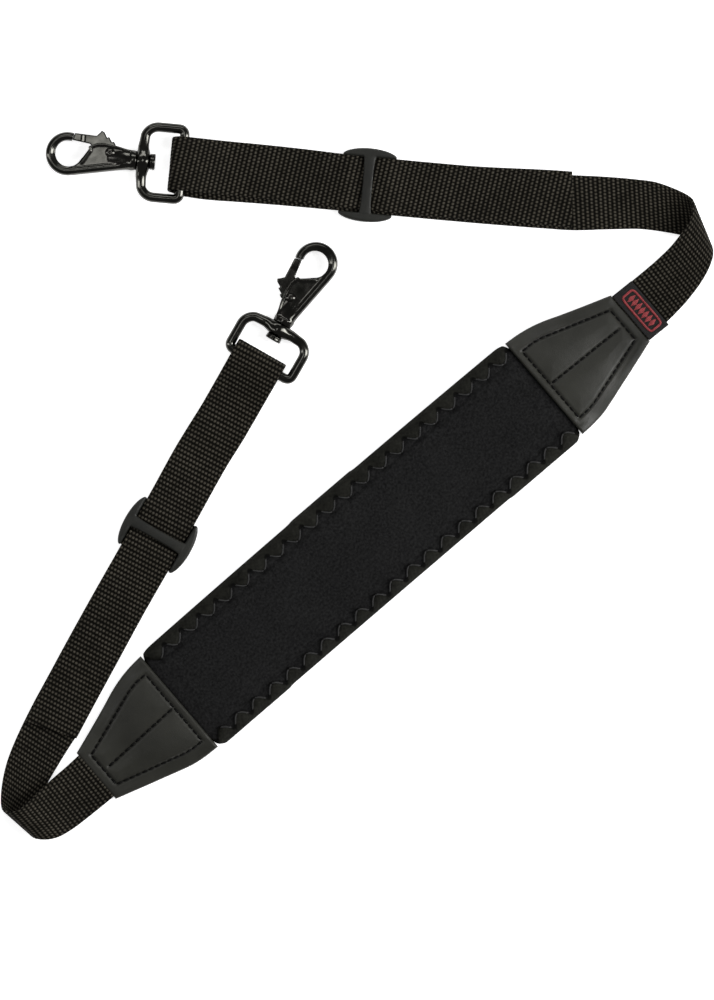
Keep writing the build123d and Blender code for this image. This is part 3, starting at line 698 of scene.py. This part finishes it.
pad_tree = tree_of(pad)
for name, sign in (("front", -1), ("rear", 1)):
    shares = np.concatenate([np.linspace(0, 0.45, 15), np.linspace(0.45, 0.75, 17)[1:],
                             np.linspace(0.75, 1, 6)[1:]])
    outer, inner = [], []
    for x in np.arange(-PAD[0] + 0.2, PAD[0] - 0.1, 0.55):
        over, under, last = [], [], None
        for share in shares:
            spot, normal = binding_points(sign, pad_tree, float(x), float(share))
            if spot is None:
                spot, normal = last
            last = (spot, normal)
            phase = math.cos((x / FEATHER - math.floor(x / FEATHER) - 0.5) * 2 * math.pi)
            puff = 0.34 + 0.8 * max(0.0, math.sin(min(share / 0.5, 1) * math.pi)) ** 0.6 * (0.5 - 0.5 * phase)
            lifted = spot + normal * puff
            over.append((lifted.x, lifted.y, max(lifted.z, 0.0)))
            sunk = spot - normal * 0.1
            under.append((sunk.x, sunk.y, max(sunk.z, 0.02)))
        outer.append(over)
        inner.append(under)
    outer, inner = np.array(outer), np.array(inner)
    points, faces = shell_grid(outer, inner)
    cloth = piece(f"{name}_binding_cloth", points, faces, BINDING, "strap", (f"{name}_binding",))
    tree = tree_of(cloth)
    threads = []
    first = math.ceil((-PAD[0] + 3) / FEATHER)
    for k in range(first, -first + 1):
        for lean in (-1, 1):
            thread = []
            for phase in (0.02, 0.1, 0.22, 0.36, 0.5, 0.64, 0.78, 0.9, 1.0):
                x = (k + 0.5) * FEATHER + lean * phase * FEATHER / 2
                y = sign * (float(scallop(np.array(x + lean * 1e-6))) + 0.45)
                hit = tree.ray_cast(Vector((x * MM, y * MM, 0.05)), Vector((0, 0, -1)))[0]
                lift = -0.4 if phase < 0.3 or phase > 0.95 else 0.12
                thread.append((x, y, (hit.z / MM if hit else 5.6) + lift))
            if all(abs(x) < PAD[0] - 1.2 for x, y, z in thread):
                threads.append(thread)
    tubes(f"{name}_feather_stitch", threads, 0.34, FEATHER_THREAD, "strap", (f"{name}_binding_stitching",))


# ---- leather tabs ----
def tab_edge(distance, upper):
    """Lateral place of a tab's long edge, at a distance from the pad's end."""
    knots = [0, 8, 14, 20, 28, 38, TAB]
    sizes = [27.2, 26.9, 26.1, 24.5, 22.1, 19.1, 14.8]
    if upper:
        sizes = [28.2, 27.5, 26.4, 24.7, 21.7, 18.1, 13.3]
    found = through(np.array(sizes)[:, None], knots, np.asarray(distance, float))[:, 0]
    return found if upper else -found


TAB_SEAMS = [
    [(3.6, 20.2), (9.5, 20.2), (14.0, 19.4), (47.2, 8.2)],
    [(47.3, 8.0), (47.3, -9.6)],
    [(3.6, -20.4), (9.5, -20.3), (14.0, -19.5), (47.2, -9.8)],
    [(3.6, 19.6), (3.6, -20.0)],
    [(4.4, 0.1), (44.5, -1.2)],
]


def from_seams(d, y):
    """Distance to the nearest seam of a tab."""
    nearest = np.full(np.shape(d), 1e9)
    for seam in TAB_SEAMS:
        for start, end in zip(seam[:-1], seam[1:]):
            run = np.subtract(end, start)
            share = np.clip(((d - start[0]) * run[0] + (y - start[1]) * run[1]) / (run @ run), 0, 1)
            off = np.hypot(d - start[0] - share * run[0], y - start[1] - share * run[1])
            nearest = np.minimum(nearest, off)
    return nearest


def inside_tab(d, y):
    """Distance in from the nearest long edge or far end of a tab."""
    flat = d.ravel()
    edge = np.minimum(tab_edge(flat, True) - y.ravel(), y.ravel() - tab_edge(flat, False)).reshape(d.shape)
    return np.minimum(edge, TAB - d)


def under_height(d, y):
    """Upper face of the lower leather, thinned towards its edges."""
    return 1.2 - 0.35 * np.exp(-inside_tab(d, y) * 3)


def tab_height(d, y):
    """Upper surface of a tab: it steps down off the pad's end, puffs up between its seams and is
    rounded off at its edges."""
    d, y = np.asarray(d, float), np.asarray(y, float)
    inside = inside_tab(d, y)
    middle = 6.9 - 3.1 * smooth_step(d, 5, 46)
    rim = 2.7 + 3.2 * np.exp(-((d / 8) ** 2))
    height = rim + (middle - rim) * smooth_step(inside, 0.5, 9)
    seam = from_seams(d, y)
    height += 0.5 * (1 - np.exp(-((seam / 4.5) ** 2))) - 0.75 * np.exp(-((seam / 0.7) ** 2)) - 0.3
    lip = np.clip(1 - np.minimum(inside, d) / 1.2, 0, 1)
    height += 0.3 * np.exp(-(((inside - 2.6) / 1.8) ** 2))
    return height - 1.2 * (1 - np.sqrt(1 - lip**2))


def tab_grid(end, inset, top, bottom):
    """Matching upper and lower grids of a tab's leather, drawn in by inset from its outline."""
    near = (1 - np.cos(np.linspace(0, math.pi / 2, 12))) * 4.0
    d = np.concatenate([near, np.linspace(4.0, TAB - 3.0, 92)[1:], TAB - near[:9][::-1]])
    d = np.unique(np.clip(d, inset, TAB - inset))
    share = np.concatenate([[0, 0.004, 0.012, 0.025], np.linspace(0.04, 0.96, 101), [0.975, 0.988, 0.996, 1]])
    low, high = tab_edge(d, False) + inset, tab_edge(d, True) - inset
    y = low[:, None] + (high - low)[:, None] * share
    d = np.broadcast_to(d[:, None], y.shape)
    x = end * (TAB_START + d)
    grids = []
    for level in (top, bottom):
        z = level(d, y) if callable(level) else np.full(y.shape, level)
        grids.append(np.stack([x, y, z], -1))
    return grids


def stitches(seam, height, pitch=3.3, gap=0.75):
    """Paths of the stitches along a seam: each dips into its holes and lies on the leather between."""
    seam = np.asarray(seam, float)
    knots = run_lengths(seam)
    count = round(knots[-1] / pitch)
    step = knots[-1] / count
    profile = ((0.0, -0.5), (0.08, 0.1), (0.3, 0.4), (0.5, 0.46), (0.7, 0.4), (0.92, 0.1), (1.0, -0.5))
    paths = []
    for i in range(count):
        path = []
        for share, lift in profile:
            place = i * step + gap / 2 + share * (step - gap)
            d, y = (np.interp(place, knots, seam[:, k]) for k in (0, 1))
            path.append((d, y, float(height(np.array([d]), np.array([y]))[0]) + lift))
        paths.append(path)
    return paths


for side, end in ENDS.items():
    points, faces = shell_grid(*tab_grid(end, 0.0, tab_height, 1.28))
    piece(f"{side}_tab_leather_top", points, faces, LEATHER, "strap", (f"{side}_tab_top",))
    points, faces = shell_grid(*tab_grid(end, 0.12, under_height, 0.0))
    piece(f"{side}_tab_leather_under", points, faces, LEATHER, "strap", (f"{side}_tab_under",))
    paths = [[(end * (TAB_START + d), y, z) for d, y, z in path]
             for seam in TAB_SEAMS for path in stitches(seam, tab_height)]
    tubes(f"{side}_tab_stitches", paths, 0.42, THREAD, "strap", (f"{side}_tab_stitching",))


# ---- label ----
def label_loop(swell, x):
    """Section of the label at x: a flat loop round the webbing."""
    skew = (x - 170.0) * -0.03
    turn = np.linspace(0, 2 * math.pi, 72, endpoint=False)
    c, s = np.cos(turn), np.sin(turn)
    y = -1.1 + skew + (13.1 + swell) * np.sign(c) * np.abs(c) ** 0.16
    z = 1.85 + (0.98 + swell) * np.sign(s) * np.abs(s) ** 0.5
    return np.stack([np.full_like(y, x), y, z], -1)


def label_points():
    """The label's outer skin, its two folded ends and its inner skin, ring by ring."""
    stops = np.linspace(163.9, 175.1, 24)
    outer = [label_loop(0.32, x) for x in stops]
    inner = [label_loop(0.0, x) for x in stops[::-1]]
    rings = [label_loop(0.16, 163.7)] + outer + [label_loop(0.16, 175.3)] + inner
    count = len(rings[0])
    faces = [(i * count + k, i * count + (k + 1) % count,
              (i + 1) % len(rings) * count + (k + 1) % count, (i + 1) % len(rings) * count + k)
             for i in range(len(rings)) for k in range(count)]
    return np.concatenate(rings), faces


def raised(name, outlines, level, height):
    """Low embroidered shapes, each a closed ring of points with a softened top."""
    points, faces = [], []
    for outline in outlines:
        outline = np.asarray(outline, float)
        centre = outline.mean(0)
        start, count = len(points), len(outline)
        for share, z in ((1.0, level - 0.1), (1.0, level + height * 0.6), (0.93, level + height)):
            points += [(*(centre + (p - centre) * share), z) for p in outline]
        for ring in range(2):
            faces += [(start + ring * count + i, start + ring * count + (i + 1) % count,
                       start + (ring + 1) * count + (i + 1) % count, start + (ring + 1) * count + i)
                      for i in range(count)]
        faces.append(tuple(range(start, start + count)))
        faces.append(tuple(range(start + 2 * count, start + 3 * count)))
    return piece(name, points, faces, MOTIF, "strap", ())


points, faces = label_points()
piece("woven_label", points, faces, LABEL, "strap", ("label_band",))


def frame_path(half_x, half_y, corner):
    """Rounded rectangle as an even run of points, for the motif's border."""
    turn = np.linspace(0, 2 * math.pi, 64, endpoint=False)
    c, s = np.cos(turn), np.sin(turn)
    x = np.clip(c * (half_x + corner), -half_x, half_x)
    x = half_x * np.sign(c) * np.abs(c) ** corner
    y = half_y * np.sign(s) * np.abs(s) ** corner
    return x, y


LABEL_TOP = 3.16
fx, fy = frame_path(3.5, 10.3, 0.28)
border = np.stack([169.9 + fx, -1.5 + fy, np.full(fx.shape, LABEL_TOP)], -1)
tubes("label_border", [np.concatenate([border, border[:2]])], 0.55, MOTIF, "strap", (), sides=8)
lozenges = [[(169.9 + dx, -1.5 + row * 2.45 + dy) for dx, dy in ((-2.7, 0), (0, -1.2), (2.7, 0), (0, 1.2))]
            for row in range(-3, 4)]
raised("label_lozenges", lozenges, LABEL_TOP, 0.18)


# ---- cast and moulded hardware ----
def cast(field, low, high, step):
    """Points and faces of the surface round the space where a field of distances is negative, one
    point to each cell that the surface crosses."""
    axes = [np.arange(a, b + step, step) for a, b in zip(low, high)]
    values = field(*np.meshgrid(*axes, indexing="ij"))
    size = np.array(values.shape)
    total, count = np.zeros((*(size - 1), 3)), np.zeros(size - 1)
    crossings = []
    for axis in range(3):
        others = [k for k in range(3) if k != axis]
        before, after = np.moveaxis(values, axis, 0)[:-1], np.moveaxis(values, axis, 0)[1:]
        crossing = (before < 0) != (after < 0)
        share = np.where(crossing, before / np.where(crossing, before - after, 1), 0)
        crossing, share = np.moveaxis(crossing, 0, axis), np.moveaxis(share, 0, axis)
        crossings.append(crossing)
        for i in (0, 1):
            for j in (0, 1):
                part = [slice(None)] * 3
                part[others[0]] = slice(i, size[others[0]] - 1 + i)
                part[others[1]] = slice(j, size[others[1]] - 1 + j)
                met = crossing[tuple(part)]
                count += met
                total[..., axis] += met * share[tuple(part)]
                total[..., others[0]] += met * i
                total[..., others[1]] += met * j
    active = count > 0
    index = np.full(active.shape, -1)
    index[active] = np.arange(active.sum())
    points = (np.argwhere(active) + total[active] / count[active][:, None]) * step + np.array(low)
    faces = []
    for axis, crossing in enumerate(crossings):
        edge = np.argwhere(crossing)
        one, two = [np.eye(3, dtype=int)[k] for k in range(3) if k != axis]
        steps = (0 * one, one, one + two, two)
        faces += np.stack([index[tuple((edge - back).T)] for back in steps], -1).tolist()
    quads = np.array(faces)
    links = np.concatenate([quads[:, [k, (k + 1) % 4]] for k in range(4)])
    degree = np.bincount(links[:, 0], minlength=len(points))[:, None]
    for share in (0.5, 0.5, 0.5):
        mean = np.stack([np.bincount(links[:, 0], points[links[:, 1], k], len(points)) for k in range(3)], -1)
        points = points + share * (mean / np.maximum(degree, 1) - points)
    return points, faces


def union(a, b, soft=0.0):
    joined = np.minimum(a, b)
    return joined - np.maximum(soft - np.abs(a - b), 0) ** 2 / (4 * soft) if soft else joined


def cut(a, b, soft=0.0):
    return -union(-a, b, soft)


def plate(outline, height, half, round_over):
    """Flat plate of a half thickness with its edges rounded, from the distance to its outline."""
    p, q = outline + round_over, np.abs(height) - half + round_over
    return np.hypot(np.maximum(p, 0), np.maximum(q, 0)) + np.minimum(np.maximum(p, q), 0) - round_over


def line_distance(x, y, path, closed=False):
    """Distance in the plane to a run of straight lines."""
    path = np.asarray(path, float)
    ends = np.roll(path, -1, axis=0) if closed else path[1:]
    nearest = np.full(x.shape, 1e9)
    for (ax, ay), (bx, by) in zip(path, ends):
        run_x, run_y = bx - ax, by - ay
        share = np.clip(((x - ax) * run_x + (y - ay) * run_y) / (run_x**2 + run_y**2 + 1e-12), 0, 1)
        nearest = np.minimum(nearest, np.hypot(x - ax - share * run_x, y - ay - share * run_y))
    return nearest


def polygon(x, y, path):
    """Distance in the plane to a closed outline, negative inside it."""
    inside = np.zeros(x.shape, bool)
    for (ax, ay), (bx, by) in zip(path, path[1:] + path[:1]):
        if ay != by:
            inside ^= ((ay > y) != (by > y)) & (x < (bx - ax) * (y - ay) / (by - ay) + ax)
    return np.where(inside, -1, 1) * line_distance(x, y, path, True)


def taper(x, y, start, first, finish, second):
    """Distance in the plane to the hull of two circles."""
    axis = np.subtract(finish, start)
    span = np.hypot(*axis)
    along = ((x - start[0]) * axis[0] + (y - start[1]) * axis[1]) / span
    across = np.abs((y - start[1]) * axis[0] - (x - start[0]) * axis[1]) / span
    slope = (first - second) / span
    level = math.sqrt(1 - slope**2)
    side = along * level - across * slope
    return np.where(side < 0, np.hypot(across, along) - first,
                    np.where(side > level * span, np.hypot(across, along - span) - second,
                             across * level + along * slope - first))


def arc(centre, radius, start, finish, count=28):
    turn = np.radians(np.linspace(start, finish, count))
    return [(centre[0] + radius * math.cos(t), centre[1] + radius * math.sin(t)) for t in turn]


def eye_field(x, y, z):
    """D-shaped rod whose arch swells inwards to the swivel's hub."""
    side = [(0, 0), (0, 13.8)] + arc((2.6, 13.8), 2.6, 180, 90, 6) + arc((12.1, 10.0), 6.4, 90, 20, 12)
    top = [(18.85 - 0.9 * math.exp(-((w / 6.0) ** 2)), w) for w in np.linspace(7.0, -7.0, 15)]
    line = side + top + [(a, -b) for a, b in side[::-1]]
    swell = np.where(x > 14, np.exp(-((y / 6.4) ** 2)), 0)
    rod = np.hypot(line_distance(x, y, line), z / (1 + 0.3 * swell)) - 2.25 - 1.0 * swell
    return union(rod, plate(np.hypot(y, z) - 4.3, x - 18.5, 2.7, 1.2), 1.6)


def rivet_field(x, y, z):
    """Domed swivel head with a turned groove, and its shank."""
    round_off = np.hypot(y, z)
    head = cut(plate(round_off - 3.85, x - 13.75, 1.25, 0.7), np.hypot(round_off - 4.1, x - 14.0) - 0.45, 0.3)
    return union(head, plate(round_off - 2.4, x - 20.0, 5.2, 0.2))


SLOT = [(29.2, -0.4), (36.0, -1.9), (45.6, -2.6), (48.5, 3.0), (44.0, 12.0), (29.2, 12.0)]
OVER_GATE = [(30.4, 5.9), (36.0, 6.5), (40.0, 6.3), (44.0, 4.4), (52.1, 6.0), (51.2, 9.3), (50.9, 12.5),
             (45.0, 15.0), (31.5, 15.0)]

CHEEK_EDGE = [(25.0, 3.9), (30.6, 5.2), (36.0, 5.8), (40.0, 5.6), (43.4, 4.0), (43.0, 2.6), (46.6, -3.6)]


def from_pivot(x, y):
    """Distance from the gate's pin, seen from above."""
    return np.hypot(x - GATE_PIVOT[0], y - GATE_PIVOT[1])


def hook_field(x, y, z):
    """Cast hook: a rounded spine that runs on into the ring, a recessed cheek, and a turned neck."""
    spine = [(24.5, -2.4), (50.4, -7.55)] + arc((53.5, 0.15), 8.1, -112, 108)
    rail = np.hypot(line_distance(x, y, spine), z * 0.66) - 2.1
    body = taper(x, y, (26.0, 0.0), 4.4, (53.6, 0.1), 10.0)
    eyelet = taper(x, y, (43.9, 4.5), 0.7, (52.9, 0.4), 6.1)
    cheek = plate(np.maximum(body + 0.3, -eyelet + 0.1), z, 2.45, 0.5)
    cheek = cut(cheek, plate(polygon(x, y, OVER_GATE), z, 9, 0.05), 0.3)
    edge = line_distance(x, y, CHEEK_EDGE)
    cheek = union(cheek, np.hypot(edge, np.abs(z) - 2.3) - 0.55, 0.5)
    cheek = cut(cheek, plate(polygon(x, y, SLOT), z, SLOT_HALF, 0.1))
    rail = cut(rail, plate(polygon(x, y, OVER_GATE), z, 9, 0.05), 0.2)
    solid = union(cheek, rail, 0.35)
    turned = np.hypot(y, z)
    collar = plate(turned - 4.6, x - 22.6, 1.3, 0.5)
    flare = np.maximum(turned - 4.3 + 0.25 * (x - 23.0), np.abs(x - 28.0) - 5.2)
    neck = union(collar, flare, 0.5)
    return cut(union(solid, neck, 2.2), from_pivot(x, y) - 1.5)


def gate_field(x, y, z):
    """Gate with a stepped thumb piece."""
    outline = [(32.4, 0.3), (31.2, 3.0), (31.6, 6.4), (32.5, 7.6), (33.4, 7.3), (34.0, 8.3), (34.9, 9.7),
               (35.7, 9.1), (36.5, 10.4), (37.2, 11.6), (38.5, 12.3), (39.3, 11.2), (40.8, 9.6),
               (50.75, 10.0), (51.0, 9.2), (51.75, 6.6), (43.6, 5.6), (37.6, 1.0), (35.2, 0.2)]
    wide = 1.7 + 0.55 * smooth_step(x, 45.5, 48.0)
    solid = plate(polygon(x, y, outline), z * 1.7 / wide, 1.7, 0.45)
    return cut(solid, from_pivot(x, y) - 1.56)


def pin_field(x, y, z):
    """Rivet with a dimpled dome at each end."""
    round_off = from_pivot(x, y)
    dome = np.maximum(np.hypot(round_off, np.abs(z) - 0.4) - 3.1, round_off - 2.45)
    dimple = np.hypot(round_off, np.abs(z) - 4.6) - 1.4
    return cut(union(plate(round_off - 1.45, z, 3.2, 0.1), cut(dome, np.abs(z) - 2.3)), dimple, 0.5)


def slider_field(x, y, z):
    """Three-bar slider: bowed rails with a ledge under the webbing's edge, two end bars under the
    webbing and a waisted bar over it."""
    bow = 12.6 + 4.55 * np.sqrt(1 - np.clip(x / 13.2, -1, 1) ** 2)
    rails = np.maximum(13.0 - np.abs(y), (np.abs(y) - bow) * 0.85)
    drop = 0.25 * smooth_step(np.abs(x), 4, 12)
    rail = plate(np.maximum(rails, np.abs(x) - 12.5), z - 2.75 + drop, 2.7 - drop, 1.15)
    beside = np.maximum(11.6 - np.abs(y), np.abs(y) - 13.6)
    ledge = plate(np.maximum(beside, np.abs(x) - 12.0), z - 0.45, 0.4, 0.2)
    across = np.abs(y) - 13.6
    over = plate(np.maximum(np.abs(x) - 2.3 - 0.6 * (y / 13) ** 4, across), z - 4.9 + 0.04 * x**2, 0.68, 0.55)
    under = plate(np.maximum(np.abs(np.abs(x) - 10.5) - 1.7, across), z - 0.5, 0.5, 0.35)
    return union(union(rail, over, 0.5), union(under, ledge), 0.2)


CASTINGS = [  # name, replaced node, field, lowest and highest corner, step, body
    ("strap_eye_cast", "strap_eye", eye_field, (-3, -19.4, -5.2), (22, 19.4, 5.2), 0.26, "eye"),
    ("swivel_rivet_turned", "swivel_rivet", rivet_field, (12, -4.4, -4.4), (26, 4.4, 4.4), 0.22, "hook"),
    ("hook_body_cast", "hook_body", hook_field, (20.8, -10.8, -5.4), (64.6, 11.2, 5.4), 0.21, "hook"),
    ("gate_cast", "hook_gate", gate_field, (30.5, -0.6, -2.8), (52.6, 13.2, 2.8), 0.15, "gate"),
    ("gate_rivet", "gate_pin", pin_field, (31, -0.4, -4.1), (36.6, 5.2, 4.1), 0.15, "hook"),
    ("slider_moulding", "slider", slider_field, (-13, -17.6, -0.4), (13, 17.6, 5.9), 0.24, "slider"),
]
SLIDER_PLACE = {"right": (86.6, 1.4), "left": (92.5, 1.1)}
for name, node, field, low, high, step, body in CASTINGS:
    points, faces = cast(field, low, high, step)
    for side, ((bar_x, bar_y), turn, *rest) in STRAPS.items():
        c, s = math.cos(math.radians(turn)), math.sin(math.radians(turn))
        along, lateral, level = points.T
        if node == "slider":
            along, lateral = along - SLIDER_PLACE[side][0], lateral + SLIDER_PLACE[side][1]
        else:
            lateral, level = lateral * (1 if side == "left" else -1), level + AXIS_HEIGHT
        placed = np.stack([bar_x + along * c - lateral * s, bar_y + along * s + lateral * c, level], -1)
        look, slot = (PLASTIC, "slider_plastic") if node == "slider" else (PLATING, "gunmetal")
        piece(f"{side}_{name}", placed, faces, look, f"{side}_{body}", (f"{side}_{node}",))


# ---- carried-over CAD parts ----
for side in ENDS:
    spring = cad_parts[f"{side}_gate_spring"]
    spring.data.materials.clear()
    spring.data.materials.append(WIRE)


# ---- floor, light and camera ----
def floor_material():
    s = Shader("pale_floor", (0.9, 0.9, 0.9), 0.9, 0.1)
    s.color(s.ramp(s.noise(8.0, 2.0), (0.3, 0.9), (0.7, 0.92)))
    s.principled.inputs["Emission Color"].default_value = (1, 1, 1, 1)
    s.principled.inputs["Emission Strength"].default_value = 0.75
    return s.material


floor_mesh = bpy.data.meshes.new("floor")
floor_mesh.from_pydata([(x, y, -0.0002) for x, y in ((-4, -4), (4, -4), (4, 4), (-4, 4))], [], [(0, 1, 2, 3)])
floor = bpy.data.objects.new("floor", floor_mesh)
floor_mesh.materials.append(floor_material())
bpy.context.scene.collection.objects.link(floor)


def softbox(name, place, aim, size, power):
    light = bpy.data.lights.new(name, "AREA")
    light.shape = "RECTANGLE"
    light.size, light.size_y = size
    light.energy = power
    made = bpy.data.objects.new(name, light)
    made.location = place
    made.rotation_euler = (Vector(aim) - Vector(place)).to_track_quat("-Z", "Y").to_euler()
    made.visible_camera = False
    bpy.context.scene.collection.objects.link(made)


softbox("right_strip", (1.05, -0.85, 1.15), (0, 0.05, 0), (0.45, 1.6), 20)
softbox("left_strip", (-0.95, 0.95, 1.0), (0, 0.05, 0), (0.2, 1.4), 5)
softbox("back_strip", (0.75, 1.0, 0.95), (0, 0.05, 0), (1.3, 0.25), 4.5)
softbox("overhead", (-0.02, 0.42, 1.5), (0, 0.3, 0), (0.34, 0.26), 1.0)
softbox("low_strip", (1.15, -0.95, 0.55), (0, 0.1, 0), (0.55, 1.6), 11)
world = bpy.data.worlds.new("studio")
world.use_nodes = True
world.node_tree.nodes["Background"].inputs["Color"].default_value = (1, 1, 1, 1)
world.node_tree.nodes["Background"].inputs["Strength"].default_value = 0.12
bpy.context.scene.world = world
bpy.context.scene.view_settings.view_transform = "Standard"

CAMERA_HEIGHT = 2.5
VIEW_HEIGHT = 0.4656            # metres of the table from the top to the bottom of the view
lens = bpy.data.cameras.new("camera")
lens.sensor_width = 36
lens.lens = 36 * CAMERA_HEIGHT / VIEW_HEIGHT
camera = bpy.data.objects.new("camera", lens)
camera.location = (0.01207, 0.0178, CAMERA_HEIGHT)
camera.rotation_euler = (0, 0, math.radians(-40.6))
bpy.context.scene.collection.objects.link(camera)
bpy.context.scene.camera = camera
